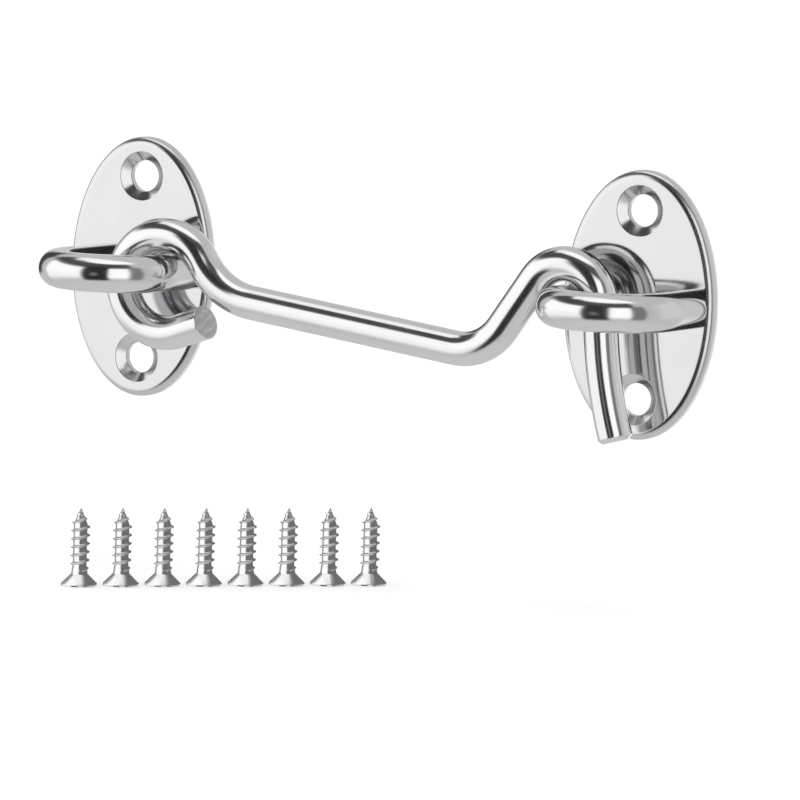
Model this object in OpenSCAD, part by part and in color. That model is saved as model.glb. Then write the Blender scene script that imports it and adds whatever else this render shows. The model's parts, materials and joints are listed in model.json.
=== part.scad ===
// Hook and eye latch in polished stainless steel.
// Two oval plates each carry a riveted wire eye. A bent wire hook hangs by its ring
// on the eye of the fixed plate and drops its arched end over the eye of the catch plate.
// Eight countersunk screws stand on their heads beside it.
// Millimetres. X runs from the fixed plate to the catch plate, Z is up, and the backs
// of both plates lie on the plane Y = 0, with the latch on the side of -Y.

/* [Plates] */
// Height of an oval plate
plate_h = 40; // [36:0.5:50]
// Width of an oval plate
plate_w = 25; // [24.5:0.5:32]
// Thickness of a plate
plate_t = 2; // [1.6:0.1:3]
// Rounding of a plate's front edge
plate_edge = 1; // [0.3:0.1:1.2]
// Distance between the centres of the two plates
plate_spacing = 86; // [82:0.5:130]

/* [Screw holes] */
// Distance between the two screw holes of a plate
hole_spacing = 28; // [26:0.5:30]
// Diameter of a screw hole
hole_d = 4.8; // [4.2:0.1:5.2]
// Diameter of the countersink at the front face
sink_d = 7.6; // [6.8:0.1:8]
// Depth of the countersink
sink_depth = 1; // [0.8:0.1:1.4]

/* [Eyes] */
// Diameter of the eye's wire
eye_wire = 5.8; // [5:0.1:6]
// Distance between the two legs of an eye, centre to centre
eye_span = 17.2; // [16.8:0.1:17.8]
// Distance from a plate's front face to the middle of the wire at the eye's nose
eye_reach = 16; // [14:0.5:24]
// Diameter of a leg's riveted end at the back of the plate
rivet_d = 6.6; // [6.2:0.1:6.8]
// Depth of the riveted end's cone
rivet_depth = 0.9; // [0.5:0.1:1.2]
// Gap between a leg and its hole in the plate
rivet_gap = 0.05; // [0.02:0.01:0.1]

/* [Hook] */
// Diameter of the hook's wire
hook_wire = 5.2; // [4.6:0.1:5.4]
// Distance from the plates' front faces to the middle of the hook's wire
hook_standoff = 6.3; // [5:0.1:8]
// Radius of the ring, to the middle of its wire
ring_r = 7.5; // [7.3:0.1:9]
// Angle between the ring's straight tail and the bar
tail_angle = 26; // [20:1:32]
// Length of the ring's straight tail
tail_len = 5.6; // [3:0.1:6]
// Length of the straight between the ring and the neck's bend
neck_len = 1; // [0.5:0.1:2]
// Radius of the bend that leads the ring into the bar
neck_r = 12; // [8:0.5:20]
// Radius of the bend where the bar turns up
valley_r = 8.5; // [6:0.5:11]
// Angle of the rise after that bend, from the bar
rise_angle = 62; // [55:1:70]
// Height of the arch's centre above the bar's axis
arch_height = 10; // [8.5:0.1:11]
// Angle of the descending end where it leaves the arch, from the bar's normal
drop_angle = 9; // [4:0.5:14]
// Length of the straight below the arch
drop_len = 1; // [0.5:0.1:3]
// Radius of the descending end's outward sweep
sweep_r = 70; // [65:5:200]
// Length of the descending end's outward sweep
sweep_len = 17.5; // [12:0.5:17.5]
// Length of the straight at the tip
tip_len = 1.8; // [1.2:0.1:2]
// Bevel of the tip's end
tip_bevel = 0.6; // [0.2:0.1:1]

/* [Fits] */
// Gap between the ring and the top of the leg it hangs on
ring_gap = 0.3; // [0.25:0.05:0.6]
// Gap between the arch and the leg it rests on
arch_gap = 0.4; // [0.3:0.05:0.8]

/* [Screws] */
// Diameter of a screw's head
screw_head_d = 5.4; // [5.3:0.1:6]
// Height of the straight rim of the head
screw_rim = 0.3; // [0.2:0.1:0.6]
// Diameter of a screw over its thread
screw_d = 3; // [2.6:0.1:3.8]
// Diameter of the plain neck under the head
screw_neck_d = 2.4; // [2:0.1:3]
// Length of the plain neck under the head
screw_neck = 0.8; // [0.4:0.1:1.5]
// Overall length of a screw
screw_len = 11.6; // [10:0.2:20]
// Length of the pointed tip
screw_tip = 2; // [1.2:0.1:3]
// Length of one arm of the cross recess, tip to tip
recess_len = 2.8; // [2:0.1:3.4]
// Width of one arm of the cross recess
recess_w = 0.7; // [0.4:0.1:1]
// Depth of the cross recess
recess_depth = 1.1; // [0.6:0.1:1.4]

/* [Screw row] */
// Number of screws
screw_count = 8; // [1:1:12]
// Distance between neighbouring screws
screw_pitch = 6.4; // [6.4:0.1:8]
// Angle of the row to the line of the plates
row_angle = 45; // [30:0.5:60]
// Place of the first screw along X
row_x = 13; // [0:1:30]
// Distance of the first screw in front of the plates' backs
row_out = 38; // [38:1:60]
// Depth of the screws' heads below the plates' centres
row_drop = 44.8; // [40:0.2:60]

/* [Hidden] */
$fn = 96;
cut = 1;
point_d = 0.4;
// Straight wire runs on into the bends by lap, and bends are thinner by hair, so they join cleanly.
lap = 0.2;
hair = 0.04;

leg_r = eye_wire / 2;
wire_r = hook_wire / 2;
leg_x = eye_span / 2;
nose_r = eye_span / 2;
hook_y = -(plate_t + hook_standoff);

// Ring centre, below the leg it hangs on.
ring_drop = ring_r - wire_r - leg_r - ring_gap;

// Arch, concentric with the near leg of the catch eye.
arch_r = leg_r + wire_r + arch_gap;
arch_dx = plate_spacing - eye_span;
arch_reach = norm([arch_dx, ring_drop]);

// In the hook's own plane the bar lies along X and its axis passes through the ring's centre.
neck_reach = ring_r + neck_r;
neck_turn = acos(neck_r / norm([neck_reach, neck_len])) - atan2(neck_len, neck_reach);
ring_turn = 180 + tail_angle + neck_turn;
rise_len = (arch_height - valley_r * (1 - cos(rise_angle)) + arch_r * cos(rise_angle)) / sin(rise_angle);
arch_x = sqrt(pow(arch_reach, 2) - pow(arch_height, 2));
bar_start = neck_reach * sin(neck_turn) + neck_len * cos(neck_turn);
bar_end = arch_x - (valley_r + arch_r) * sin(rise_angle) - rise_len * cos(rise_angle);
arch_turn = rise_angle + 90 - drop_angle;
sweep_turn = sweep_len / sweep_r * 180 / PI;
hook_tilt = atan2(ring_drop, arch_dx) - atan2(arch_height, arch_x);
tail_start = [
    ring_r * sin(tail_angle) + tail_len * cos(tail_angle),
    tail_len * sin(tail_angle) - ring_r * cos(tail_angle)
];

// Each step is a straight length and the bend after it, as radius and turn, left turns positive.
hook_path = [
    [tail_len, ring_r, -ring_turn],
    [neck_len, neck_r, neck_turn],
    [bar_end - bar_start, valley_r, rise_angle],
    [rise_len, arch_r, -arch_turn],
    [drop_len, sweep_r, sweep_turn]
];

head_cone = (screw_head_d - screw_neck_d) / 2;

steel = "#d9dbde";
bright_steel = "#e8eaec";

SCREWS = [for (i = [1:screw_count]) str("screw_", i)];

// Half the section of a disc with a rounded front edge, its back on Y = 0.
module disc_profile(r, t, edge) {
    difference() {
        square([r, t]);
        translate([r - edge, t - edge]) difference() {
            square(edge + cut);
            circle(edge);
        }
    }
}

// An oval disc with a rounded front edge, drawn as four quarter turns with the front up.
module oval_disc() {
    for (quarter = [0:3])
        scale([plate_w / plate_h, 1, 1]) rotate([0, 0, 90 * quarter]) rotate_extrude(angle = 90)
            disc_profile(plate_h / 2, plate_t, plate_edge);
}

// A countersunk hole through a plate, drawn with the front up.
module screw_hole() {
    translate([0, 0, -cut]) cylinder(d = hole_d, h = plate_t + 2 * cut);
    translate([0, 0, plate_t - sink_depth]) cylinder(d1 = hole_d, d2 = sink_d, h = sink_depth);
    translate([0, 0, plate_t]) cylinder(d = sink_d, h = cut);
}

// A leg's end and its riveted cone, or the hole for it where grow is the gap.
module leg_end(length, grow = 0) {
    cylinder(d = eye_wire + 2 * grow, h = length);
    cylinder(d1 = rivet_d + 2 * grow, d2 = eye_wire + 2 * grow, h = rivet_depth);
}

// Turns a shape drawn on Z = 0 with its front up, so that it faces -Y.
module face_out() {
    rotate([90, 0, 0]) children();
}

module oval_plate() {
    color(bright_steel) face_out() difference() {
        oval_disc();
        for (side = [-1, 1]) {
            translate([0, side * hole_spacing / 2, 0]) screw_hole();
            translate([side * leg_x, 0, 0]) leg_end(plate_t + cut, rivet_gap);
            translate([side * leg_x, 0, -cut]) cylinder(d = rivet_d + 2 * rivet_gap, h = cut);
        }
    }
}

// A round-nosed loop of wire whose two legs pass through the plate.
module eye() {
    leg_len = plate_t + eye_reach - nose_r;
    color(steel) face_out() {
        for (side = [-1, 1]) translate([side * leg_x, 0, 0]) leg_end(leg_len);
        translate([0, 0, leg_len]) rotate([90, 0, 0]) rotate_extrude(angle = 180)
            translate([nose_r, 0]) circle(d = eye_wire);
    }
}

// A round bar along X from x = from to x = to.
module straight(from, to) {
    translate([from, 0, 0]) rotate([0, 90, 0]) cylinder(d = hook_wire, h = to - from);
}

// The wire's end, with its edge bevelled.
module tip() {
    r = hook_wire / 2;
    rotate([0, 90, 0]) rotate_extrude() polygon([
        [0, -lap],
        [r, -lap],
        [r, tip_len - tip_bevel],
        [r - tip_bevel, tip_len],
        [0, tip_len]
    ]);
}

// A turn of wire that starts at the origin and heads along X.
module bend(radius, turn) {
    side = sign(turn);
    translate([0, side * radius, 0]) rotate([0, 0, side > 0 ? -90 : 90 + turn])
        rotate_extrude(angle = abs(turn)) translate([radius, 0]) circle(d = hook_wire - hair);
}

// Draws the wire along the path's steps from number i on, heading along X.
module bent_wire(path, i = 0) {
    if (i == len(path)) {
        tip();
    } else {
        length = path[i][0];
        radius = path[i][1];
        turn = path[i][2];
        centre = [0, sign(turn) * radius, 0];
        straight(i == 0 ? 0 : -lap, length + lap);
        translate([length, 0, 0]) {
            bend(radius, turn);
            translate(centre) rotate([0, 0, turn]) translate(-centre) bent_wire(path, i + 1);
        }
    }
}

module fixed_plate() {
    oval_plate();
}

module fixed_eye() {
    eye();
}

module catch_plate() {
    translate([plate_spacing, 0, 0]) oval_plate();
}

module catch_eye() {
    translate([plate_spacing, 0, 0]) eye();
}

module hook() {
    color(steel) translate([leg_x, hook_y, -ring_drop]) face_out() rotate([0, 0, hook_tilt])
        translate(tail_start) rotate([0, 0, 180 + tail_angle]) bent_wire(hook_path);
}

// One countersunk screw on its head, with a cross recess underneath.
module screw(i) {
    along = (i - 1) * screw_pitch;
    body_start = screw_rim + head_cone + screw_neck;
    taper = (screw_d - screw_neck_d) / 2;
    color(bright_steel)
        translate([row_x + along * cos(row_angle), -row_out + along * sin(row_angle), -row_drop])
            difference() {
                rotate_extrude() polygon([
                    [0, 0],
                    [screw_head_d / 2, 0],
                    [screw_head_d / 2, screw_rim],
                    [screw_neck_d / 2, screw_rim + head_cone],
                    [screw_neck_d / 2, body_start],
                    [screw_d / 2, body_start + taper],
                    [screw_d / 2, screw_len - screw_tip],
                    [point_d / 2, screw_len],
                    [0, screw_len]
                ]);
                for (turn = [0, 90]) rotate([0, 0, turn])
                    translate([-recess_len / 2, -recess_w / 2, -cut])
                        cube([recess_len, recess_w, recess_depth + cut]);
            }
}

fixed_plate();
fixed_eye();
catch_plate();
catch_eye();
hook();
for (i = [1:screw_count]) {
    screw(i);
}
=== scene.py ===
"""Hook and eye latch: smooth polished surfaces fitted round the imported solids.

Lengths inside the shape functions are millimetres. X runs from the fixed plate to the catch
plate, Z is up, and the backs of both plates lie on Y = 0 with the latch on the side of -Y.
"""

import json
import math
from collections import namedtuple
from types import SimpleNamespace

import bpy
import numpy as np
from mathutils import Matrix, Vector
from mathutils.geometry import delaunay_2d_cdt


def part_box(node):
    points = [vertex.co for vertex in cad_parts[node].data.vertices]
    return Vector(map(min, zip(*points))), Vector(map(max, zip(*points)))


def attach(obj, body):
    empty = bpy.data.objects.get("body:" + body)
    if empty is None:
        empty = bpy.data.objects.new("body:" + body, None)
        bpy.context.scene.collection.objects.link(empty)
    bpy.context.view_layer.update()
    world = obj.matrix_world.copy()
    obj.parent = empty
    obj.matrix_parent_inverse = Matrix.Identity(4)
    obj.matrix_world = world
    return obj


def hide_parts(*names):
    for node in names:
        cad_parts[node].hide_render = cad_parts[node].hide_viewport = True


bl_info = {
    "name": "Hook and eye latch",
    "version": (1, 0, 0),
    "blender": (4, 5, 0),
    "location": "View3D > Sidebar > Latch",
    "description": "Builds a polished wire hook with two plated eyes and its screws",
    "category": "Object",
}

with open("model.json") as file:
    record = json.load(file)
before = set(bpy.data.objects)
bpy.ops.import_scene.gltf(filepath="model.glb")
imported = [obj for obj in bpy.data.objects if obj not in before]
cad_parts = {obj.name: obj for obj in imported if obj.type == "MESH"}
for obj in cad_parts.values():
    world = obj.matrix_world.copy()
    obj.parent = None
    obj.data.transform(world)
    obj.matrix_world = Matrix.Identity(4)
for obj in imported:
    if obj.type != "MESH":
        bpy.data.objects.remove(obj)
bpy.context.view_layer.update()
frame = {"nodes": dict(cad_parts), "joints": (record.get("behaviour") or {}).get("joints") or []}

MM = 0.001
TURN = 2 * math.pi
QUARTER = math.pi / 2

# How finely the surfaces are drawn

WIRE_SIDES = 72  # points round a wire
RIM_SIDES = 256  # points round a plate's rim
HOLE_SIDES = 72  # points round a screw hole
SCREW_SIDES = 64  # points round a screw
ROLL_STEPS = 16  # steps of the rounding of a plate's front edge
HOLE_STEPS = 8  # steps of a screw hole's roundings
EDGE_STEPS = 4  # steps of the rounding of the tail's cut
CORNER_STEPS = 5  # steps of the other roundings
CUT_RINGS = 7  # rings across a cut end of the hook
RIVET_RINGS = 5  # rings across a rivet
HEAD_RINGS = 40  # rings across a screw's head
WIRE_STEP = 0.35  # millimetres between the rings of a wire
FINE_STEPS = 10  # steps of a path's sums between two rings
THREAD_STEP = 0.055  # millimetres between the rings of a thread
ROW_DIGITS = 5  # decimals by which a screw's rings are told apart
POLE_SHARE = 0.06  # a closed end's innermost ring, as a share of its radius


def node_size(node):
    """Width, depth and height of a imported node, in metres."""
    low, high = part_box(node)
    return high - low


def node_middle(node):
    """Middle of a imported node's box, in metres."""
    low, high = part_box(node)
    return (low + high) / 2


PLATE_SIZE = node_size("fixed_plate")
PLATE_SPACING = node_middle("catch_plate").x - node_middle("fixed_plate").x
HINGE = next(j for j in frame["joints"] if j["name"] == "hook_lift")["pos_m"]
SCREW_NODES = sorted(n for n in frame["nodes"] if n.startswith("screw_"))
SCREW_SIZE = node_size(SCREW_NODES[0])
FLOOR_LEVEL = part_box(SCREW_NODES[0])[0].z


def length(name, description, default):
    """A length property in metres."""
    return bpy.props.FloatProperty(
        name=name, description=description, default=default, min=0.0, unit="LENGTH", precision=5
    )


def angle(name, description, degrees):
    """An angle property, given in degrees and kept in radians."""
    return bpy.props.FloatProperty(
        name=name, description=description, default=math.radians(degrees), subtype="ANGLE"
    )


def colour(name, description, default):
    """A colour property."""
    return bpy.props.FloatVectorProperty(
        name=name, description=description, default=default, size=3, min=0.0, max=1.0,
        subtype="COLOR",
    )


def share(name, description, default):
    """A plain number from 0 to 1."""
    return bpy.props.FloatProperty(
        name=name, description=description, default=default, min=0.0, max=1.0, subtype="FACTOR"
    )


class LatchSizes(bpy.types.PropertyGroup):
    """Sizes of the plates, eyes, hook and screws."""

    plate_height: length("Plate height", "Height of an oval plate", PLATE_SIZE.z)
    plate_width: length("Plate width", "Width of an oval plate", PLATE_SIZE.x)
    plate_thickness: length("Plate thickness", "Thickness of a plate", PLATE_SIZE.y)
    plate_edge: length("Edge depth", "Depth of the rounding of a plate's front edge", 0.001)
    plate_roll: length("Edge width", "Width of the rounding of a plate's front edge", 0.0012)
    plate_spacing: length("Plate spacing", "Distance between the plates' middles", PLATE_SPACING)
    hole_spacing: length("Hole spacing", "Distance between a plate's screw holes", 0.028)
    hole_width: length("Hole width", "Diameter of a screw hole", 0.0048)
    sink_width: length("Countersink width", "Countersink's diameter at the face", 0.0076)
    sink_depth: length("Countersink depth", "Depth of the countersink", 0.001)
    eye_wire: length("Eye wire", "Diameter of an eye's wire", 0.0058)
    eye_span: length("Eye span", "Distance between an eye's legs", 0.0172)
    eye_reach: length("Eye reach", "Plate's face to the middle of the nose's wire", 0.016)
    rivet_width: length("Rivet width", "Diameter of a leg's riveted end", 0.0066)
    rivet_depth: length("Rivet depth", "Depth of the riveted end's cone", 0.0009)
    hook_wire: length("Hook wire", "Diameter of the hook's wire", 0.0052)
    ring_radius: length("Ring radius", "Radius of the ring's middle line", 0.0075)
    tail_angle: angle("Tail angle", "Angle of the ring's straight tail to the bar", 26)
    tail_length: length("Tail length", "Length of the ring's straight tail", 0.0056)
    tail_slant: angle("Tail slant", "Slant of the cut at the tail's end", 8)
    neck_length: length("Neck length", "Straight between the ring and the neck", 0.001)
    neck_radius: length("Neck radius", "Bend that leads the ring into the bar", 0.012)
    valley_radius: length("Valley radius", "Bend where the bar turns up", 0.0085)
    rise_angle: angle("Rise angle", "Slope of the rise to the bar", 62)
    arch_height: length("Arch height", "Arch's centre above the bar", 0.010)
    arch_gap: length("Arch gap", "Gap between the arch and the leg under it", 0.0004)
    drop_angle: angle("Drop angle", "Slope of the end where it leaves the arch", 9)
    drop_length: length("Drop length", "Straight below the arch", 0.001)
    sweep_radius: length("Sweep radius", "Outward sweep of the end", 0.070)
    sweep_length: length("Sweep length", "Length of the outward sweep", 0.0175)
    tip_length: length("Tip length", "Straight at the tip", 0.0018)
    tip_bevel: length("Tip bevel", "Bevel of the tip", 0.0006)
    screw_core: length("Screw core", "Diameter of a screw between its threads", 0.00205)
    screw_thread: length("Screw thread", "Diameter of a screw over its threads", 0.003)
    screw_neck: length("Screw neck", "Diameter of the neck under the head", 0.0024)
    screw_rim: length("Screw rim", "Height of the head's straight rim", 0.0003)
    screw_tip: length("Screw tip", "Length of the pointed tip", 0.0024)
    thread_pitch: length("Thread pitch", "Distance between the threads", 0.00124)
    recess_length: length("Recess length", "Length of the cross recess", 0.0028)
    recess_width: length("Recess width", "Width of the cross recess", 0.0007)
    recess_depth: length("Recess depth", "Depth of the cross recess", 0.0011)


class LatchFinish(bpy.types.PropertyGroup):
    """Colours and polish of the steel."""

    plate_steel: colour("Plate steel", "Colour of the polished plates", (0.645, 0.648, 0.654))
    wire_steel: colour("Wire steel", "Colour of the polished wire", (0.725, 0.728, 0.734))
    screw_steel: colour("Screw steel", "Colour of the bright screws", (0.667, 0.67, 0.676))
    cut_steel: colour("Cut steel", "Colour of the wire's cut ends", (0.48, 0.48, 0.484))
    plate_polish: share("Plate polish", "Roughness of the plates", 0.07)
    edge_polish: share("Edge polish", "Roughness of the plates' edges", 0.24)
    wire_polish: share("Wire polish", "Roughness of the wire", 0.13)
    screw_polish: share("Screw polish", "Roughness of the screws", 0.2)
    cut_polish: share("Cut roughness", "Roughness of the cut ends", 0.42)


class LatchStage(bpy.types.PropertyGroup):
    """Camera and light."""

    camera_azimuth: angle("Azimuth", "Camera's turn to the right of the front", 28.985)
    camera_elevation: angle("Elevation", "Camera's height above the horizon", 5.639)
    camera_roll: angle("Roll", "Camera's turn about its own line of sight", 1.869)
    camera_distance: length("Distance", "Camera to the point it looks at", 1.0)
    camera_lens: bpy.props.FloatProperty(
        name="Lens", description="Focal length on a 36 mm sensor, in millimetres", default=298.53
    )
    look_at: bpy.props.FloatVectorProperty(
        name="Look at", description="Point in the middle of the picture", size=3,
        default=(0.04662, -0.002, -0.01704), subtype="TRANSLATION", unit="LENGTH",
    )
    floor_shade: colour("Floor", "Colour of the pale floor", (0.8, 0.8, 0.8))
    floor_glow: share("Floor glow", "Light that the floor adds to reach white", 0.28)
    sky_level: share("Sky level", "Strength of the white surroundings", 0.9)
    lamp_power: bpy.props.FloatProperty(
        name="Lamp power", description="Power of the soft lamp overhead, in watts", default=2.6
    )


def in_mm(group):
    """The group's values as a plain namespace, with lengths in millimetres and the rest as is."""
    values = {}
    for key in group.__annotations__:
        value = getattr(group, key)
        is_length = group.bl_rna.properties[key].unit == "LENGTH"
        values[key] = value / MM if is_length else value
    return SimpleNamespace(**values)


# Profiles and paths

NO_BEND = (1.0, 0.0)  # radius and turn where no bend follows a straight


def rounded(points, radii, steps=CORNER_STEPS):
    """A polyline in the plane whose inner corners are rounded.

    Each corner becomes an arc of the given radius, which starts and ends at the distance
    radius times the tangent of half the turn from the corner.
    """
    points = np.asarray(points, float)
    parts = [points[:1]]
    for before, corner, after, radius in zip(points, points[1:], points[2:], radii):
        into = (corner - before) / np.linalg.norm(corner - before)
        out = (after - corner) / np.linalg.norm(after - corner)
        turn = math.atan2(into[0] * out[1] - into[1] * out[0], into @ out)
        start = corner - into * radius * math.tan(abs(turn) / 2)
        inward = math.copysign(1.0, turn) * np.array([-into[1], into[0]])
        swing = np.linspace(0, abs(turn), steps + 1)[:, None]
        spoke = into * np.sin(swing) - inward * np.cos(swing)
        parts.append(start + inward * radius + spoke * radius)
    parts.append(points[-1:])
    return np.concatenate(parts)


def wire_path(steps, start, heading, ease):
    """Points and headings along a planar path of straights and bends.

    Each step is a straight's length and the radius and turn of the bend after it. The curvature
    is one over the radius on a bend and nothing on a straight, averaged over the length ease so
    that the bends begin gently. The heading is its running sum, and the points are the running
    sum of the heading's cosine and sine.
    """
    lengths = np.concatenate([[s[0], abs(s[1] * s[2])] for s in steps])
    bends = np.concatenate([[0.0, math.copysign(1 / s[1], s[2]) if s[2] else 0.0] for s in steps])
    ends = np.cumsum(lengths)
    count = int(round(ends[-1] / WIRE_STEP * FINE_STEPS))
    fine = ends[-1] / count
    middle = (np.arange(count) + 0.5) * fine
    bend = bends[np.minimum(np.searchsorted(ends, middle), len(bends) - 1)]
    window = max(1, int(round(ease / fine)) | 1)
    bend = np.convolve(np.pad(bend, window // 2), np.ones(window) / window, "valid")
    turned = heading + np.concatenate([[0.0], np.cumsum(bend * fine)])
    half_way = (turned[1:] + turned[:-1]) / 2
    moves = np.stack([np.cos(half_way), np.sin(half_way)], 1) * fine
    points = np.asarray(start, float) + np.concatenate([np.zeros((1, 2)), np.cumsum(moves, 0)])
    keep = np.unique(np.round(np.linspace(0, count, int(ends[-1] / WIRE_STEP) + 1)).astype(int))
    return points[keep], turned[keep]


def sweep_circle(centre, heading, radius):
    """Rings of a circle carried along a planar path.

    A ring's point is the path's point plus the radius times the cosine of its angle along the
    path's left normal, and times the sine of its angle out of the plane. Returned in the path's
    plane as rows by columns by (along, across, out).
    """
    around = np.arange(WIRE_SIDES) / WIRE_SIDES * TURN
    left = np.stack([-np.sin(heading), np.cos(heading)], 1)
    in_plane = centre[:, None] + (radius[:, None] * np.cos(around))[..., None] * left[:, None]
    out = radius[:, None] * np.sin(around)
    return np.concatenate([in_plane, out[..., None]], 2)


# Meshes


def grid_faces(rows, columns, first=0):
    """Quads of a grid whose columns close into a ring."""
    row = np.arange(rows - 1)[:, None] * columns
    column = np.arange(columns)[None]
    beside = (column + 1) % columns
    quads = np.stack([row + column, row + beside, row + columns + beside, row + columns + column], 2)
    return quads.reshape(-1, 4) + first


def fan_faces(columns, ring_first, pole, flip):
    """Triangles that close a ring of vertices onto one middle vertex."""
    column = np.arange(columns)
    beside = (column + 1) % columns
    ends = (beside, column) if flip else (column, beside)
    return np.stack([ring_first + ends[0], ring_first + ends[1], np.full(columns, pole)], 1)


def closed_tube(points):
    """A tube from an array of rings, rows by columns by 3, closed by a middle vertex at each end."""
    rows, columns = points.shape[:2]
    poles = np.stack([points[0].mean(0), points[-1].mean(0)])
    vertices = np.concatenate([points.reshape(-1, 3), poles])
    first_pole = rows * columns
    triangles = np.concatenate([
        fan_faces(columns, 0, first_pole, True),
        fan_faces(columns, first_pole - columns, first_pole + 1, False),
    ])
    return vertices, [grid_faces(rows, columns), triangles]


def flat_fill(vertices, loops, front):
    """Triangles of a flat face between an outer loop and the round loops of its holes.

    The loops' sides bound a triangulation of all their points. A triangle with all its corners on
    one hole's loop lies in that hole and is left out.
    """
    inside_only, merge_distance = 1, 1e-7
    index = np.concatenate(loops)
    flat = vertices[index][:, [0, 2]]
    sizes = [len(loop) for loop in loops]
    starts = np.cumsum([0] + sizes)
    sides = [
        np.stack([np.arange(a, b), np.roll(np.arange(a, b), -1)], 1)
        for a, b in zip(starts[:-1], starts[1:])
    ]
    found = delaunay_2d_cdt(
        flat.tolist(), np.concatenate(sides).tolist(), [], inside_only, merge_distance
    )
    placed = np.array([origin[0] for origin in found[3]])
    triangles = placed[np.array(found[2])]
    owner = np.repeat(np.arange(len(loops)), sizes)[triangles]
    triangles = triangles[(owner.min(1) != owner.max(1)) | (owner[:, 0] == 0)]
    a, b, c = flat[triangles].transpose(1, 0, 2)
    clockwise = (b[:, 0] - a[:, 0]) * (c[:, 1] - a[:, 1]) < (b[:, 1] - a[:, 1]) * (c[:, 0] - a[:, 0])
    turned = clockwise if front else ~clockwise
    triangles[turned] = triangles[turned][:, ::-1]
    return index[triangles]


def mark_points(mesh, name, values):
    """Gives a mesh a number at each of its points."""
    attribute = mesh.attributes.new(name, "FLOAT", "POINT")
    attribute.data.foreach_set("value", np.ravel(values).astype(np.float32))


def make_piece(name, vertices, faces, material, body, node, marks=None):
    """Puts a piece's arrays into a smooth mesh that rides on a body and stands for a node."""
    mesh = bpy.data.meshes.new(name)
    mesh.from_pydata((vertices * MM).tolist(), [], [f for part in faces for f in part.tolist()])
    if marks is not None:
        mark_points(mesh, "cut_face", marks)
    mesh.shade_smooth()
    mesh.materials.append(material)
    piece = bpy.data.objects.new(name, mesh)
    bpy.context.scene.collection.objects.link(piece)
    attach(piece, body)
    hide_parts(node)
    return piece


# Oval plates

PLATE_TRIM = 0.12  # trim of the edges at the back
TRIM_MIDDLE = 0.3  # how far the trim's middle stands in, as a share of the trim
FACE_MARGIN = 0.24  # flat drawn beside the rounding of the face
BACK_MARGIN = 0.06  # flat drawn beside the trim of the back
SINK_LIP = 0.2  # rounding of a countersink's lip, and the flat drawn beside it
SINK_FOOT = 0.3  # rounding between a countersink and its bore
SINK_MARK = 0.55  # how far a countersink's finish goes towards that of the rounded edge


def plate_rim(s):
    """Rings of a plate's rim, from its front face round the edge to its back, and their insets.

    A profile of inset and depth is carried round the oval, where the inset runs along the oval's
    inward normal. The profile's front is a quarter of an ellipse.
    """
    tall, wide, thick, trim = s.plate_height / 2, s.plate_width / 2, s.plate_thickness, PLATE_TRIM
    swing = np.linspace(0, QUARTER, ROLL_STEPS + 1)
    roll = np.stack([
        s.plate_roll * (1 - np.sin(swing)), -thick + s.plate_edge * (1 - np.cos(swing))
    ], 1)
    profile = np.concatenate([
        [[s.plate_roll + FACE_MARGIN, -thick]],
        roll,
        [[0, -trim], [trim * TRIM_MIDDLE, -trim * TRIM_MIDDLE], [trim, 0], [trim + BACK_MARGIN, 0]],
    ])
    around = np.arange(RIM_SIDES) / RIM_SIDES * TURN
    oval = np.stack([wide * np.cos(around), tall * np.sin(around)], 1)
    inward = -np.stack([tall * np.cos(around), wide * np.sin(around)], 1)
    inward /= np.linalg.norm(inward, axis=1, keepdims=True)
    flat = oval + profile[:, :1, None] * inward
    depth = np.repeat(profile[:, 1:], RIM_SIDES, 1)
    return np.stack([flat[..., 0], depth, flat[..., 1]], 2), profile[:, 0]


def plate_hole(s):
    """Rings of a countersunk hole about its own axis, from the front face to the back, and their radii.

    A profile of radius and depth with rounded corners is turned about the axis.
    """
    thick, bore, sink = s.plate_thickness, s.hole_width / 2, s.sink_width / 2
    profile = rounded(
        [
            [sink + SINK_LIP, -thick], [sink, -thick], [bore, -thick + s.sink_depth], [bore, 0],
            [bore + PLATE_TRIM + BACK_MARGIN, 0],
        ],
        [SINK_LIP, SINK_FOOT, PLATE_TRIM], HOLE_STEPS,
    )
    around = np.arange(HOLE_SIDES) / HOLE_SIDES * TURN
    rings = np.stack([
        np.outer(profile[:, 0], np.cos(around)),
        np.repeat(profile[:, 1:], HOLE_SIDES, 1),
        np.outer(profile[:, 0], np.sin(around)),
    ], 2)
    return rings, profile[:, 0]


def oval_plate(s):
    """An oval plate with two countersunk screw holes; the eye's legs stand tight in it.

    The flat front and back are filled between the innermost ring of the rim and the outermost of
    the holes. The marks are 1 on the outer half of the rounded edge and fade out across its inner
    half, and the countersinks have a weaker one.
    """
    rim, inset = plate_rim(s)
    hole, radius = plate_hole(s)
    lift = np.array([0, 0, s.hole_spacing / 2])
    vertices, faces, fronts, backs, first = [], [], [], [], 0
    for part, is_rim in ((rim, True), (hole + lift, False), (hole - lift, False)):
        rows, columns = part.shape[:2]
        quads = grid_faces(rows, columns, first)
        faces.append(quads[:, ::-1] if is_rim else quads)
        fronts.append(first + np.arange(columns))
        backs.append(first + (rows - 1) * columns + np.arange(columns))
        vertices.append(part.reshape(-1, 3))
        first += rows * columns
    vertices = np.concatenate(vertices)
    faces.append(flat_fill(vertices, fronts, True))
    faces.append(flat_fill(vertices, backs, False))
    edge_marks = np.repeat(np.clip(2 - 2 * inset / s.plate_roll, 0, 1), RIM_SIDES)
    in_sink = radius < s.sink_width / 2 + SINK_LIP / 2
    hole_marks = np.repeat(in_sink * SINK_MARK, HOLE_SIDES)
    return vertices, faces, np.concatenate([edge_marks, hole_marks, hole_marks])


# Wire eyes

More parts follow.
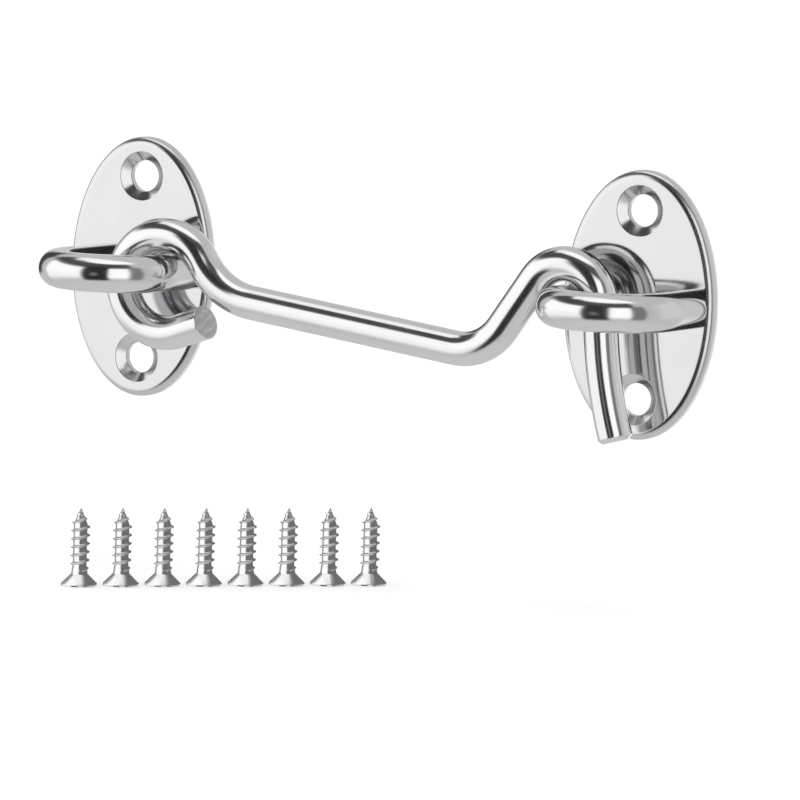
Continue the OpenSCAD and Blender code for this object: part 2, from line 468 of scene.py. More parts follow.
EYE_EASE = 1.6  # length over which the nose's bend begins
RIVET_PROUD = 0.02  # how far a riveted end stands out behind the plate
RIVET_EDGE = 0.08  # rounding of the riveted end's rim
RIVET_FOOT = 0.3  # rounding where the cone meets the leg
RIVET_RUN = 0.2  # plain leg drawn in front of the cone
RIVET_CLEAR = 0.3  # gap between the cone and the loop's own rings
RIVET_FACE = 0.8  # share of the rivet's radius that its flat rings cover


def rivet_rows(s):
    """Rows of a leg's riveted end, from its middle out, as distance in from the back and radius."""
    leg, rivet = s.eye_wire / 2, s.rivet_width / 2
    cone = rounded(
        [
            [-RIVET_PROUD, 0], [-RIVET_PROUD, rivet], [s.rivet_depth, leg],
            [s.rivet_depth + RIVET_RUN, leg],
        ],
        [RIVET_EDGE, RIVET_FOOT],
    )
    face = np.linspace(rivet * POLE_SHARE, rivet * RIVET_FACE, RIVET_RINGS)
    flat = np.stack([np.full(RIVET_RINGS, -RIVET_PROUD), face], 1)
    return np.concatenate([flat, cone[1:]])


def wire_eye(s):
    """A round-nosed loop of wire with riveted ends.

    A circle is carried down one leg, round a half circle and back along the other leg. Behind
    the plate the circle's radius grows along the rivet's cone.
    """
    leg, nose = s.eye_wire / 2, s.eye_span / 2
    straight = s.plate_thickness + s.eye_reach - nose
    points, heading = wire_path(
        [(straight, nose, math.pi), (straight, *NO_BEND)], (-nose, 0.0), -QUARTER, EYE_EASE
    )
    points[:, 0] -= (points[0, 0] + points[-1, 0]) / 2
    in_front = points[:, 1] <= -s.rivet_depth - RIVET_CLEAR
    points, heading = points[in_front], heading[in_front]
    cone = rivet_rows(s)
    x = points[0, 0]
    start = np.stack([np.full(len(cone), x), -cone[:, 0]], 1)
    end = np.stack([np.full(len(cone), -x), -cone[::-1, 0]], 1)
    centre = np.concatenate([start, points, end])
    radius = np.concatenate([cone[:, 1], np.full(len(points), leg), cone[::-1, 1]])
    facing = np.concatenate([np.full(len(cone), -QUARTER), heading, np.full(len(cone), QUARTER)])
    return sweep_circle(centre, facing, radius)


# Bent hook

HOOK_EASE = 1.2  # length over which the bends begin
TAIL_EDGE = 0.14  # rounding of the tail's cut
TAIL_POLISHED = 0.6  # outer share of that rounding which stays polished
TAIL_REST = 1.0  # length of tail beside the ring that the slant leaves alone
TAIL_PARTS = 8  # the tail lies within the first of this many parts of the hook's rings
TIP_RUN = 0.3  # wire before the bevel, which gives its first rounding a direction
TIP_ROUNDS = (0.25, 0.12)  # roundings of the bevel's two edges
TIP_MIDDLE = 0.15  # radius of the tip's innermost ring


def hook_layout(s, ring_x, ring_z):
    """The hook's straights and bends in its own plane, the place where its tail starts, and its tilt.

    The bar lies along the first axis and passes through the ring's centre. The bar's length and
    the tilt follow from the place of the catch eye's leg, round which the arch is drawn.
    """
    arch = s.eye_wire / 2 + s.hook_wire / 2 + s.arch_gap
    reach_x, reach_z = s.plate_spacing - s.eye_span / 2 - ring_x, -ring_z
    arch_x = math.sqrt(math.hypot(reach_x, reach_z)**2 - s.arch_height**2)
    neck_reach = s.ring_radius + s.neck_radius
    neck_turn = (
        math.acos(s.neck_radius / math.hypot(neck_reach, s.neck_length))
        - math.atan2(s.neck_length, neck_reach)
    )
    rise = (
        s.arch_height - s.valley_radius * (1 - math.cos(s.rise_angle))
        + arch * math.cos(s.rise_angle)
    ) / math.sin(s.rise_angle)
    bar_start = neck_reach * math.sin(neck_turn) + s.neck_length * math.cos(neck_turn)
    bar_end = (
        arch_x - (s.valley_radius + arch) * math.sin(s.rise_angle) - rise * math.cos(s.rise_angle)
    )
    steps = [
        (s.tail_length, s.ring_radius, -(math.pi + s.tail_angle + neck_turn)),
        (s.neck_length, s.neck_radius, neck_turn),
        (bar_end - bar_start, s.valley_radius, s.rise_angle),
        (rise, arch, -(s.rise_angle + QUARTER - s.drop_angle)),
        (s.drop_length, s.sweep_radius, s.sweep_length / s.sweep_radius),
        (s.tip_length - s.tip_bevel, *NO_BEND),
    ]
    start = np.array([
        s.ring_radius * math.sin(s.tail_angle) + s.tail_length * math.cos(s.tail_angle),
        s.tail_length * math.sin(s.tail_angle) - s.ring_radius * math.cos(s.tail_angle),
    ])
    tilt = math.atan2(reach_z, reach_x) - math.atan2(s.arch_height, arch_x)
    return steps, start, tilt


def tail_rows(wire):
    """Rows of the tail's cut end, from its middle out, as distance into the wire and radius.

    The flat face grows in even rings from its middle, and its edge is a quarter round.
    """
    swing = np.linspace(0, QUARTER, EDGE_STEPS + 1)
    along = np.concatenate([TAIL_EDGE * np.sin(swing) - TAIL_EDGE, np.zeros(CUT_RINGS)])
    flat = np.linspace(wire - TAIL_EDGE, wire * POLE_SHARE, CUT_RINGS + 1)[1:]
    across = np.concatenate([wire - TAIL_EDGE + TAIL_EDGE * np.cos(swing), flat])
    return -along[::-1], across[::-1]


def tip_rows(wire, bevel):
    """Rows of the tip's bevelled end, from the wire to its middle, as distance ahead and radius."""
    outline = rounded(
        [[-TIP_RUN, wire], [0, wire], [bevel, wire - bevel], [bevel, TIP_MIDDLE]], TIP_ROUNDS
    )[1:-1]
    face = np.linspace(outline[-1, 1], TIP_MIDDLE, CUT_RINGS + 1)[1:]
    along = np.concatenate([outline[:, 0], np.full(CUT_RINGS, bevel)])
    return along, np.concatenate([outline[:, 1], face])


def slant_tail(rings, start, ahead, s):
    """Leans the tail's cut, in place.

    A point of the tail is pushed along the wire in proportion to how far it stands out in front,
    and the less the nearer it lies to the ring.
    """
    along = (rings[..., :2] - start) @ ahead
    slant = (rings[..., 2] + s.hook_wire / 2) * math.tan(s.tail_slant)
    reach = s.tail_length - TAIL_REST
    first_rows = (np.arange(len(rings)) < len(rings) // TAIL_PARTS)[:, None]
    push = np.where(first_rows & (along < reach), slant * (1 - along / reach), 0.0)
    rings[..., :2] += push[..., None] * ahead


def hook_wire(s, hinge):
    """The bent hook: tail, open ring, neck, bar, valley, rise, arch and swept end.

    A circle is carried along the hook's path, with the rows of its two ends before and after it.
    The rings are then turned by the hook's tilt about the hinge. The marks are 1 on the tail's cut.
    """
    ring_x, hook_y, ring_z = (v / MM for v in hinge)
    wire = s.hook_wire / 2
    steps, start, tilt = hook_layout(s, ring_x, ring_z)
    points, heading = wire_path(steps, start, math.pi + s.tail_angle, HOOK_EASE)
    ahead, beyond = (np.array([math.cos(a), math.sin(a)]) for a in heading[[0, -1]])
    points, heading = points[1:-1], heading[1:-1]
    tail_along, tail_across = tail_rows(wire)
    tip_along, tip_across = tip_rows(wire, s.tip_bevel)
    finish = points[-1] + beyond * WIRE_STEP
    centre = np.concatenate([
        start + tail_along[:, None] * ahead, points, finish + tip_along[:, None] * beyond
    ])
    facing = np.concatenate([
        np.full(len(tail_along), heading[0]), heading, np.full(len(tip_along), heading[-1])
    ])
    radius = np.concatenate([tail_across, np.full(len(points), wire), tip_across])
    rings = sweep_circle(centre, facing, radius)
    slant_tail(rings, start, ahead, s)
    turned = np.array([[math.cos(tilt), -math.sin(tilt)], [math.sin(tilt), math.cos(tilt)]])
    flat = rings[..., :2] @ turned.T
    placed = np.stack([ring_x + flat[..., 0], hook_y - rings[..., 2], ring_z + flat[..., 1]], 2)
    marks = np.zeros(placed.shape[:2])
    marks[:len(tail_along)] = (tail_across < wire - TAIL_EDGE * TAIL_POLISHED)[:, None]
    return placed, marks


# Screws

HEAD_INSET = 0.06  # how far inside the rim the outline starts
HEAD_ROUND = 0.05  # rounding of the rim's two edges
HEAD_FILLET = 0.5  # rounding where the head meets the neck
HEAD_ROWS = 0.5  # length above the head whose rings follow the outline's own points
NECK_LENGTH = 0.8  # length of the neck
NECK_TAPER = 0.96  # width of the neck's far end, as a share of its width at the head
CORE_START = 1.2  # where the core begins above the head
CORE_EASE = 0.2  # roundings between the neck and the core
TIP_EASE = 0.8  # rounding between the core and the tip
POINT_RADIUS = 0.05  # radius of the point
THREAD_WIDTH = 0.19  # half the thread's width, in turns
THREAD_POWER = 1.2  # power that sharpens the thread
THREAD_START = 0.35  # where the thread begins above the head
THREAD_RUN_IN = 1.0  # length over which the thread rises
THREAD_END = 0.15  # where the thread ends below the point
THREAD_RUN_OUT = 1.05  # length over which the thread sinks, in lengths of the tip
RUN_OUT_POWER = 0.8  # power that shapes the thread's sinking
FLAT_MIDDLE = 0.02  # radius of the innermost ring of the head's flat
FLAT_INSET = 0.08  # distance of the flat's outermost ring from the rim
RECESS_SIDE = 0.12  # width of the slope at the sides of the cross recess
RECESS_END = 0.5  # width of the slope at the ends of the cross recess


def screw_head(s, head):
    """Rings of the flat of a screw's head, pressed in where a point lies within an arm of the cross."""
    swing = np.arange(SCREW_SIDES) / SCREW_SIDES * TURN
    spread = np.linspace(FLAT_MIDDLE, head - FLAT_INSET, HEAD_RINGS)
    x, y = np.outer(spread, np.cos(swing)), np.outer(spread, np.sin(swing))
    across = np.minimum(np.abs(x), np.abs(y))
    along = np.maximum(np.abs(x), np.abs(y))
    beside = np.clip((s.recess_width / 2 - across) / RECESS_SIDE + 0.5, 0, 1)
    pressed = beside * np.clip((s.recess_length / 2 - along) / RECESS_END, 0, 1)
    return np.stack([x, y, s.recess_depth * pressed], 2)


def screw_body(s, tall, head):
    """Rings of a screw's side, from the head's rim to the point, as a grid of angle and height.

    The plain radius follows the head's cone, the neck, the core and the pointed tip. The thread
    adds a ridge whose height depends on the distance, in turns, from the helix, and fades out at
    both ends.
    """
    core, crest, neck = s.screw_core / 2, s.screw_thread / 2, s.screw_neck / 2
    head_top = s.screw_rim + (head - neck)
    outline = rounded(
        [
            [0.0, head - HEAD_INSET], [0.0, head], [s.screw_rim, head], [head_top, neck],
            [head_top + NECK_LENGTH, neck * NECK_TAPER], [head_top + CORE_START, core],
            [tall - s.screw_tip, core], [tall, POINT_RADIUS],
        ],
        [HEAD_ROUND, HEAD_ROUND, HEAD_FILLET, CORE_EASE, CORE_EASE, TIP_EASE],
    )
    even_from = head_top + HEAD_ROWS
    rows = np.concatenate([
        outline[outline[:, 0] < even_from, 0], np.arange(even_from, tall, THREAD_STEP)
    ])
    rows = np.unique(np.round(rows, ROW_DIGITS))
    plain = np.interp(rows, outline[:, 0], outline[:, 1])
    around, height = np.meshgrid(np.arange(SCREW_SIDES) / SCREW_SIDES * TURN, rows)
    turns = height / s.thread_pitch - around / TURN
    away = np.abs(turns - np.round(turns))
    ridge = np.clip(1 - away / THREAD_WIDTH, 0, 1) ** THREAD_POWER
    begin = np.clip((height - head_top - THREAD_START) / THREAD_RUN_IN, 0, 1)
    finish = np.clip((tall - THREAD_END - height) / (s.screw_tip * THREAD_RUN_OUT), 0, 1)
    radius = plain[:, None] + (crest - core) * ridge * begin * finish ** RUN_OUT_POWER
    return np.stack([radius * np.cos(around), radius * np.sin(around), height], 2)


def wood_screw(s, tall, head):
    """A countersunk screw that stands on its head: the head's flat, then its side up to the point."""
    return np.concatenate([screw_head(s, head), screw_body(s, tall, head)])


# Finishes

CLOUD_SCALE = 160.0  # scale of the steel's faint cloudiness
CLOUD_DETAIL = 4.0
CLOUD_RANGE = (0.3, 0.7)  # part of the noise that counts
CLOUD_TINT = (0.975, 1.02)  # how far it takes the colour down and up
CLOUD_SHINE = (0.75, 1.3)  # how far it takes the roughness down and up
GRAIN_SCALE = 5200.0  # scale of the polishing lines
GRAIN_DETAIL = 2.0
GRAIN_STRENGTH = 0.012
MARK_DETAIL = 3.0
MARK_DISTORTION = 4.0  # how unevenly the tool marks run
MARK_HEIGHT = 0.00002  # height of polishing lines and tool marks, in metres
MIX_SOCKETS = {"FLOAT": (2, 3, 0), "RGBA": (6, 7, 2)}  # a mix node's two inputs and its output

# Tool marks have a depth, a scale, and a streak by which they darken and lighten the steel
ToolMarks = namedtuple("ToolMarks", "depth scale streak")
FINE_MARKS = ToolMarks(depth=0.01, scale=3800.0, streak=0.04)  # on the plates' edges and countersinks
SAW_MARKS = ToolMarks(depth=0.08, scale=700.0, streak=0.1)  # on the end of the hook's tail
CutSurface = namedtuple("CutSurface", "colour polish marks")


class Nodes:
    """A small helper that adds nodes to a material or a world and links them."""

    def __init__(self, owner):
        owner.use_nodes = True
        self.tree = owner.node_tree
        self.tree.nodes.clear()

    def add(self, kind, inputs=(), **settings):
        """A node of a kind with its settings, and with its inputs, by name or number, set or linked."""
        node = self.tree.nodes.new(kind)
        for key, value in settings.items():
            setattr(node, key, value)
        for socket, value in dict(inputs).items():
            if isinstance(value, bpy.types.NodeSocket):
                self.tree.links.new(value, node.inputs[socket])
            else:
                node.inputs[socket].default_value = value
        return node

    def mix(self, data_type, factor, low, high):
        """The output of a mix of two colours or numbers, from low at factor 0 to high at 1."""
        first, second, output = MIX_SOCKETS[data_type]
        inputs = {0: factor, first: low, second: high}
        return self.add("ShaderNodeMix", inputs, data_type=data_type).outputs[output]

    def combine(self, operation, first, second):
        """The output of two numbers combined by the named operation."""
        return self.add("ShaderNodeMath", {0: first, 1: second}, operation=operation).outputs[0]

    def noise(self, place, scale, detail):
        """The output of a noise at a place."""
        inputs = {"Vector": place, "Scale": scale, "Detail": detail}
        return self.add("ShaderNodeTexNoise", inputs).outputs["Fac"]

    def attribute(self, name, output):
        """An output of one of the mesh's own attributes."""
        return self.add("ShaderNodeAttribute", attribute_name=name).outputs[output]


def tinted(tone, factor):
    """A colour times a factor, as the four values of a socket."""
    return (*(min(1, c * factor) for c in tone), 1)


def cut_look(nodes, place, look, cut):
    """Colour, roughness and normal that turn into a cut surface's where the attribute cut_face is 1."""
    base, rough, normal = look
    mark = nodes.attribute("cut_face", "Fac")
    lines = nodes.add("ShaderNodeTexWave", {
        "Vector": place, "Scale": cut.marks.scale, "Distortion": MARK_DISTORTION,
        "Detail": MARK_DETAIL,
    }).outputs["Fac"]
    dark, light = tinted(cut.colour, 1 - cut.marks.streak), tinted(cut.colour, 1 + cut.marks.streak)
    grooves = nodes.add("ShaderNodeBump", {
        "Strength": cut.marks.depth, "Distance": MARK_HEIGHT, "Normal": normal,
        "Height": nodes.combine("MULTIPLY", lines, mark),
    })
    return (
        nodes.mix("RGBA", mark, base, nodes.mix("RGBA", lines, dark, light)),
        nodes.mix("FLOAT", mark, rough, cut.polish),
        grooves.outputs["Normal"],
    )


def polished_steel(name, steel, polish, cut=None):
    """Polished steel: faint cloudiness in colour and polish, fine polishing lines, and cut surfaces."""
    material = bpy.data.materials.new(name)
    nodes = Nodes(material)
    place = nodes.add("ShaderNodeTexCoord").outputs["Object"]
    cloud = nodes.noise(place, CLOUD_SCALE, CLOUD_DETAIL)
    tint = nodes.add("ShaderNodeValToRGB", {"Fac": cloud})
    for element, position, factor in zip(tint.color_ramp.elements, CLOUD_RANGE, CLOUD_TINT):
        element.position = position
        element.color = tinted(steel, factor)
    shine = nodes.add("ShaderNodeMapRange", {
        "Value": cloud, "From Min": CLOUD_RANGE[0], "From Max": CLOUD_RANGE[1],
        "To Min": polish * CLOUD_SHINE[0], "To Max": polish * CLOUD_SHINE[1],
    })
    lines = nodes.add("ShaderNodeBump", {
        "Strength": GRAIN_STRENGTH, "Distance": MARK_HEIGHT,
        "Height": nodes.noise(place, GRAIN_SCALE, GRAIN_DETAIL),
    })
    look = tint.outputs["Color"], shine.outputs["Result"], lines.outputs["Normal"]
    base, rough, normal = look if cut is None else cut_look(nodes, place, look, cut)
    shader = nodes.add("ShaderNodeBsdfPrincipled", {
        "Metallic": 1.0, "Base Color": base, "Roughness": rough, "Normal": normal,
    })
    nodes.add("ShaderNodeOutputMaterial", {"Surface": shader.outputs["BSDF"]})
    return material


# The light tent that the steel mirrors

TENT_RADIUS = 2.0  # metres
TENT_COLUMNS = 721
TENT_ROWS = 361
TENT_POWER = 1.35  # strength of its light
TENT_CLOTH = 0.72  # shade of the cloth where no panel covers it
SHADE_POWER = 2.2  # power that turns a shade as seen into light

# Azimuth and elevation from and to, in degrees, shade, and how wide the sides, bottom and top fade
TENT_PANELS = (
    (-200, 200, -120, -45, 0.76, 1, 1, 40),  # pale ground
    (-112, -68, 55, 110, 0.94, 8, 7, 1),  # light at the upper left
    (-70, 88, 62, 110, 1.0, 10, 5, 1),  # light overhead
    (-110, 64, 34, 57, 0.28, 10, 17, 8),  # dark wall above the windows
    (-70, 64, 50, 62, 0.28, 10, 6, 9),  # top of that wall in front
    (-94, -19, -27, 4, 0.96, 8, 26, 1),  # lower half of the left window
    (-94, -19, -2, 33, 1.0, 8, 12, 10),  # upper half of the left window
    (-18.5, 23, -36, 42, 0.19, 11, 14, 6),  # dark pillar between the windows
    (-5, 6, -11, 8, 0.44, 9, 12, 12),  # paler middle of the pillar
    (23, 57, -24, 35, 1.0, 7, 22, 7),  # right window
    (57, 78, -30, 40, 0.45, 9, 18, 12),  # grey edge of the right window
    (100, 150, -20, 40, 0.79, 24, 22, 14),  # pale right side
    (160, 215, -30, 14, 0.95, 20, 26, 34),  # white back, right of its middle
    (-215, -160, -30, 14, 0.95, 20, 26, 34),  # white back, left of its middle
    (-138, -113, -9, 33, 0.25, 8, 6, 9),  # dark strip at the far left
)

# The sleeves that paint the screws' reflections: glowing cards that only each screw's own steel mirrors

SLEEVE_RADIUS = 0.005  # metres
SLEEVE_HEIGHT = 0.013  # metres
SLEEVE_REACH = 0.009  # longest ray that still meets a sleeve, in metres
SLEEVE_COLUMNS = 91

# Azimuths, in degrees, and the light there
SLEEVE_LIGHT = (
    (-98, 0.37), (-76, 0.37), (-58, 1.5), (12, 1.5), (25, 0.22), (190, 0.22), (215, 0.37), (262, 0.37),
)

# Floor, camera and lamp, in metres

FLOOR_SPREAD = (0.05, 14)  # radii of the floor's rings
FLOOR_MIDDLE = 1e-6  # radius of its innermost ring
FLOOR_GAP = 0.00002  # how far it lies under the screws' heads
FLOOR_RINGS = 40
FLOOR_SIDES = 96
FLOOR_CLOUD_SCALE = 9.0  # scale of its faint clouding
FLOOR_CLOUD_DETAIL = 2.0
FLOOR_TINT = (0.99, 1.01)  # how far the clouding takes its colour down and up
SENSOR_WIDTH = 36.0  # millimetres
CLIP_RANGE = (0.01, 50.0)
LAMP_WIDTH = 1.2
LAMP_OUT = 0.2  # how far the lamp hangs in front of the plates
LAMP_HEIGHT = 1.5
MIRROR_BOUNCES = 12  # bounces that a mirrored ray may take between the wires


def stage_piece(name, points, faces, material):
    """A piece of the stage from its points, in metres, and its faces; its glow is no lamp."""
    mesh = bpy.data.meshes.new(name)
    mesh.from_pydata(points.reshape(-1, 3).tolist(), [], faces.tolist())
    mesh.materials.append(material)
    material.cycles.emission_sampling = "NONE"
    piece = bpy.data.objects.new(name, mesh)
    bpy.context.scene.collection.objects.link(piece)
    return piece


def show_in_mirrors_only(piece):
    """Hides a piece from all rays but those that polished steel reflects."""
    for kind in ("camera", "diffuse", "transmission", "volume_scatter", "shadow"):
        setattr(piece, "visible_" + kind, False)


def tent_shade(azimuth, elevation):
    """The tent's brightness in a direction: its cloth, covered in turn by each panel.

    A panel covers fully inside its limits and fades out along a smooth step across its edges.
    Shades are as seen, so a power of them is the light.
    """
    def past(value, edge, fade):
        ramp = np.clip((value - edge) / fade + 0.5, 0, 1)
        return ramp * ramp * (3 - 2 * ramp)

    shade = np.full(azimuth.shape, TENT_CLOTH)
    for az_low, az_high, el_low, el_high, value, sides, bottom, top in TENT_PANELS:
        cover = past(azimuth, az_low, sides) * past(-azimuth, -az_high, sides)
        cover *= past(elevation, el_low, bottom) * past(-elevation, -el_high, top)
        shade += cover * (value - shade)
    return shade ** SHADE_POWER


def tent_cloth():
    """A glow as bright as the attribute tent_shade says."""
    material = bpy.data.materials.new("tent_cloth")
    nodes = Nodes(material)
    level = nodes.attribute("tent_shade", "Color")
    glow = nodes.add("ShaderNodeEmission", {"Strength": TENT_POWER, "Color": level})
    nodes.add("ShaderNodeOutputMaterial", {"Surface": glow.outputs["Emission"]})
    return material


def light_tent():
    """A sphere round the latch that only its reflections show: white panels, dark gaps, pale cloth."""
    azimuth, elevation = np.meshgrid(
        np.linspace(-180, 180, TENT_COLUMNS), np.linspace(-90, 90, TENT_ROWS)
    )
    a, e = np.radians(azimuth), np.radians(elevation)
    points = TENT_RADIUS * np.stack([np.sin(a) * np.cos(e), -np.cos(a) * np.cos(e), np.sin(e)], 2)
    corner = (np.arange(TENT_ROWS - 1)[:, None] * TENT_COLUMNS + np.arange(TENT_COLUMNS - 1)).ravel()
    faces = corner[:, None] + np.array([0, TENT_COLUMNS, TENT_COLUMNS + 1, 1])
    tent = stage_piece("light_tent", points, faces, tent_cloth())
    mark_points(tent.data, "tent_shade", tent_shade(azimuth, elevation))
    show_in_mirrors_only(tent)


def sleeve_card():
    """A glow as bright as the attribute sleeve_light says, which paints a reflection onto the screws.

    A ray that comes from outside, or from further than the sleeve's reach, passes through.
    """
    material = bpy.data.materials.new("sleeve_card")
    nodes = Nodes(material)
    ray = nodes.add("ShaderNodeLightPath").outputs["Ray Length"]
    far = nodes.combine("GREATER_THAN", ray, SLEEVE_REACH)
    outside = nodes.add("ShaderNodeNewGeometry").outputs["Backfacing"]
    glow = nodes.add("ShaderNodeEmission", {"Color": nodes.attribute("sleeve_light", "Color")})
    through = nodes.add("ShaderNodeBsdfTransparent")
    both = nodes.add("ShaderNodeMixShader", {
        0: nodes.combine("MAXIMUM", far, outside),
        1: glow.outputs["Emission"],
        2: through.outputs["BSDF"],
    })
    nodes.add("ShaderNodeOutputMaterial", {"Surface": both.outputs["Shader"]})
    return material


def screw_reflection_sleeves():
    """A shaded sleeve round each screw, which only that screw's own steel mirrors: a painted reflection
    of light and dark bands on the screw.

    Its points lie on a circle about the screw's axis, at the floor and above the tip, and its faces
    look inwards. Its light is read off between the given azimuths.
    """
    azimuth = np.linspace(SLEEVE_LIGHT[0][0], SLEEVE_LIGHT[-1][0], SLEEVE_COLUMNS)
    swing = np.radians(azimuth)
    circle = SLEEVE_RADIUS * np.stack([np.sin(swing), -np.cos(swing)], 1)
    middles = np.array([node_middle(n)[:2] for n in SCREW_NODES])
    points = np.empty((len(SCREW_NODES), 2, SLEEVE_COLUMNS, 3))
    points[..., :2] = middles[:, None, None] + circle
    points[..., 2] = FLOOR_LEVEL + np.array([0, SLEEVE_HEIGHT])[:, None]
    first = np.arange(len(SCREW_NODES))[:, None] * 2 * SLEEVE_COLUMNS + np.arange(SLEEVE_COLUMNS - 1)
    faces = first.reshape(-1, 1) + np.array([0, SLEEVE_COLUMNS, SLEEVE_COLUMNS + 1, 1])
    # Painted reflection: the sleeves glow only in each screw's own reflection
    sleeves = stage_piece("screw_reflection_sleeves", points, faces, sleeve_card())
    light = np.interp(azimuth, *np.array(SLEEVE_LIGHT).T)
    mark_points(sleeves.data, "sleeve_light", np.tile(light, 2 * len(SCREW_NODES)))
    show_in_mirrors_only(sleeves)


def floor_paint(stage):
    """Matt pale paint with faint clouding, and a glow that lifts it to white."""
    material = bpy.data.materials.new("pale_floor")
    nodes = Nodes(material)
    place = nodes.add("ShaderNodeTexCoord").outputs["Object"]
    cloud = nodes.noise(place, FLOOR_CLOUD_SCALE, FLOOR_CLOUD_DETAIL)
    tint = nodes.add("ShaderNodeValToRGB", {"Fac": cloud})
    for element, factor in zip(tint.color_ramp.elements, FLOOR_TINT):
        element.color = tinted(stage.floor_shade, factor)
    matt = nodes.add("ShaderNodeBsdfDiffuse", {"Color": tint.outputs["Color"]})
    glow = nodes.add("ShaderNodeEmission", {"Strength": stage.floor_glow})
    both = nodes.add("ShaderNodeAddShader", {0: matt.outputs["BSDF"], 1: glow.outputs["Emission"]})
    nodes.add("ShaderNodeOutputMaterial", {"Surface": both.outputs["Shader"]})
    return material


def pale_floor(stage):
    """A wide round floor under the screws' heads, drawn as rings of growing radius."""
    spread = np.concatenate([[FLOOR_MIDDLE], np.geomspace(*FLOOR_SPREAD, FLOOR_RINGS)])
    swing = np.arange(FLOOR_SIDES) / FLOOR_SIDES * TURN
    points = np.stack([
        np.outer(spread, np.cos(swing)), np.outer(spread, np.sin(swing)),
        np.full((len(spread), FLOOR_SIDES), FLOOR_LEVEL - FLOOR_GAP),
    ], 2)
    faces = grid_faces(len(spread), FLOOR_SIDES)
    floor = stage_piece("pale_floor", points, faces, floor_paint(stage))
    floor.visible_glossy = False


def set_camera(stage):
    """A camera at the photograph's angle: behind the look-at point by the distance, then rolled."""
    a, e, roll = stage.camera_azimuth, stage.camera_elevation, stage.camera_roll
    back = Vector((math.sin(a) * math.cos(e), -math.cos(a) * math.cos(e), math.sin(e)))
    level = Vector((math.cos(a), math.sin(a), 0))
    up = back.cross(level)
    right = level * math.cos(roll) + up * math.sin(roll)
    above = up * math.cos(roll) - level * math.sin(roll)
    data = bpy.data.cameras.new("view")
    data.sensor_width = SENSOR_WIDTH
    data.lens = stage.camera_lens
    data.clip_start, data.clip_end = CLIP_RANGE
    camera = bpy.data.objects.new("view", data)
    bpy.context.scene.collection.objects.link(camera)
    turn = Matrix((right, above, back)).transposed().to_4x4()
    camera.matrix_world = (
        Matrix.Translation(Vector(stage.look_at) + back * stage.camera_distance) @ turn
    )
    bpy.context.scene.camera = camera


def soft_light(stage):
    """White surroundings, full white to the camera, and one wide soft lamp overhead for the shadow."""
    world = bpy.data.worlds.new("white_room")
    nodes = Nodes(world)
    seen = nodes.add("ShaderNodeLightPath").outputs["Is Camera Ray"]
    level = nodes.add("ShaderNodeMapRange", {
        "Value": seen, "To Min": stage.sky_level, "To Max": 1.0,
    })
    sky = nodes.add("ShaderNodeBackground", {
        "Color": (1, 1, 1, 1), "Strength": level.outputs["Result"],
    })
    nodes.add("ShaderNodeOutputWorld", {"Surface": sky.outputs["Background"]})
    bpy.context.scene.world = world
    lamp = bpy.data.lights.new("soft_lamp", "AREA")
    lamp.shape, lamp.size, lamp.energy = "DISK", LAMP_WIDTH, stage.lamp_power
    holder = bpy.data.objects.new("soft_lamp", lamp)
    holder.location = (PLATE_SPACING / 2, -LAMP_OUT, LAMP_HEIGHT)
    bpy.context.scene.collection.objects.link(holder)
    holder.visible_glossy = False
    holder.visible_camera = False


# Operators


class LATCH_OT_stage(bpy.types.Operator):
    """Sets the camera, the pale floor, the light and what the steel mirrors"""

    bl_idname = "latch.stage"
    bl_label = "Stage"

    def execute(self, context):
        stage = context.scene.latch_stage
        context.scene.view_settings.view_transform = "Standard"
        context.scene.cycles.glossy_bounces = MIRROR_BOUNCES
        context.scene.cycles.min_light_bounces = MIRROR_BOUNCES
        set_camera(stage)
        soft_light(stage)
        pale_floor(stage)
        light_tent()
        # The sleeves paint light and dark bands into the screws' reflections
        screw_reflection_sleeves()
        return {"FINISHED"}


class LATCH_OT_plates(bpy.types.Operator):
    """Builds the two oval plates with their countersunk holes"""

    bl_idname = "latch.plates"
    bl_label = "Oval plates"

    def execute(self, context):
        s, finish = in_mm(context.scene.latch_sizes), context.scene.latch_finish
        steel = polished_steel(
            "plate_steel_polished", finish.plate_steel, finish.plate_polish,
            CutSurface(finish.plate_steel, finish.edge_polish, FINE_MARKS),
        )
        vertices, faces, marks = oval_plate(s)
        for name, node, x in (
            ("fixed_oval_plate", "fixed_plate", 0.0),
            ("catch_oval_plate", "catch_plate", s.plate_spacing),
        ):
            make_piece(
                name, vertices + [x, 0, 0], faces, steel, "mounted_plates", node, marks
            )
        return {"FINISHED"}


class LATCH_OT_eyes(bpy.types.Operator):
    """Builds the two wire eyes that are riveted into the plates"""

    bl_idname = "latch.eyes"
    bl_label = "Wire eyes"

    def execute(self, context):
        s, finish = in_mm(context.scene.latch_sizes), context.scene.latch_finish
        steel = polished_steel("eye_steel_polished", finish.wire_steel, finish.wire_polish)
        vertices, faces = closed_tube(wire_eye(s))
        for name, node, x in (
            ("fixed_wire_eye", "fixed_eye", 0.0),
            ("catch_wire_eye", "catch_eye", s.plate_spacing),
        ):
            make_piece(name, vertices + [x, 0, 0], faces, steel, "mounted_plates", node)
        return {"FINISHED"}


class LATCH_OT_hook(bpy.types.Operator):
    """Builds the bent wire hook"""

    bl_idname = "latch.hook"
    bl_label = "Bent hook"

    def execute(self, context):
        s, finish = in_mm(context.scene.latch_sizes), context.scene.latch_finish
        steel = polished_steel(
            "hook_steel_polished", finish.wire_steel, finish.wire_polish,
            CutSurface(finish.cut_steel, finish.cut_polish, SAW_MARKS),
        )
        rings, marks = hook_wire(s, HINGE)
        vertices, faces = closed_tube(rings)
        marks = np.concatenate([marks.ravel(), [1.0, 0.0]])
        make_piece("bent_hook", vertices, faces, steel, "hook", "hook", marks)
        return {"FINISHED"}


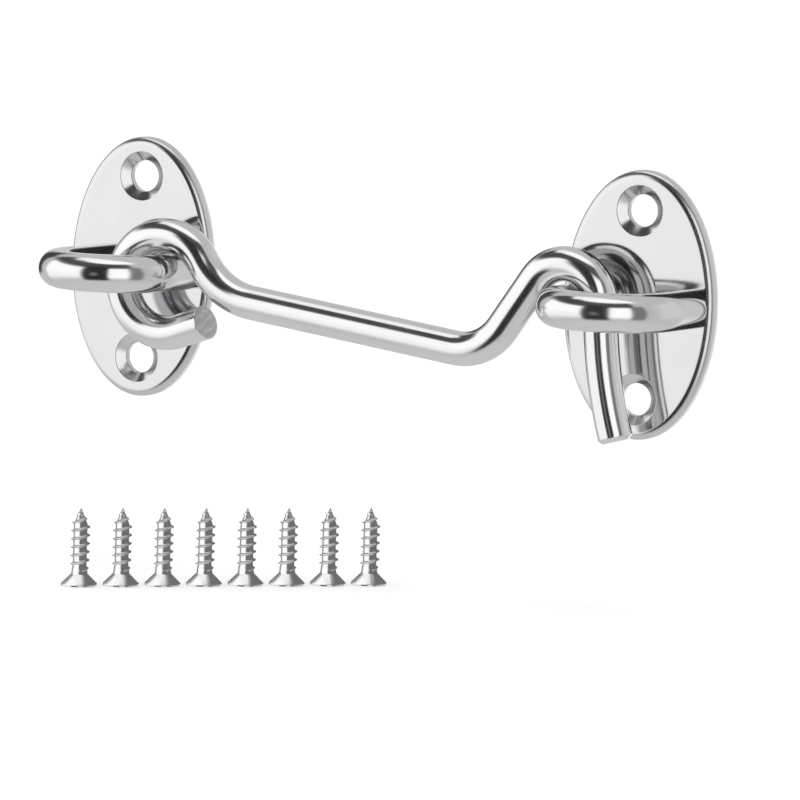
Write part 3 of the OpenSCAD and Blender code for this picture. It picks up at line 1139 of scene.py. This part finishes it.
class LATCH_OT_screws(bpy.types.Operator):
    """Builds the row of countersunk screws that stand on their heads"""

    bl_idname = "latch.screws"
    bl_label = "Screws"

    def execute(self, context):
        s, finish = in_mm(context.scene.latch_sizes), context.scene.latch_finish
        steel = polished_steel("screw_steel_bright", finish.screw_steel, finish.screw_polish)
        vertices, faces = closed_tube(wood_screw(s, SCREW_SIZE.z / MM, SCREW_SIZE.x / MM / 2))
        for node in SCREW_NODES:
            low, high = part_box(node)
            foot = np.array([(low.x + high.x) / 2, (low.y + high.y) / 2, low.z]) / MM
            name = node.replace("screw_", "wood_screw_")
            piece = make_piece(name, vertices + foot, faces, steel, "mounted_plates", node)
            piece.visible_glossy = False
        return {"FINISHED"}


class LATCH_PT_panel(bpy.types.Panel):
    """Lists the latch's pieces and their sizes and finishes"""

    bl_label = "Hook and eye latch"
    bl_idname = "LATCH_PT_panel"
    bl_space_type = "VIEW_3D"
    bl_region_type = "UI"
    bl_category = "Latch"

    def draw(self, context):
        for operator in OPERATORS:
            self.layout.operator(operator.bl_idname)
        for key in GROUPS:
            group = getattr(context.scene, key)
            box = self.layout.box()
            for name in group.__annotations__:
                box.prop(group, name)


GROUPS = {"latch_sizes": LatchSizes, "latch_finish": LatchFinish, "latch_stage": LatchStage}
OPERATORS = (LATCH_OT_stage, LATCH_OT_plates, LATCH_OT_eyes, LATCH_OT_hook, LATCH_OT_screws)


def register():
    """Registers the groups, operators and panel."""
    for cls in (*GROUPS.values(), *OPERATORS, LATCH_PT_panel):
        bpy.utils.register_class(cls)
    for key, cls in GROUPS.items():
        setattr(bpy.types.Scene, key, bpy.props.PointerProperty(type=cls))


def unregister():
    """Takes them away again."""
    for key in GROUPS:
        delattr(bpy.types.Scene, key)
    for cls in (LATCH_PT_panel, *OPERATORS, *GROUPS.values()):
        bpy.utils.unregister_class(cls)


def main():
    """Builds everything."""
    register()
    bpy.ops.latch.stage()
    bpy.ops.latch.plates()
    bpy.ops.latch.eyes()
    bpy.ops.latch.hook()
    bpy.ops.latch.screws()


if __name__ == "__main__":
    main()
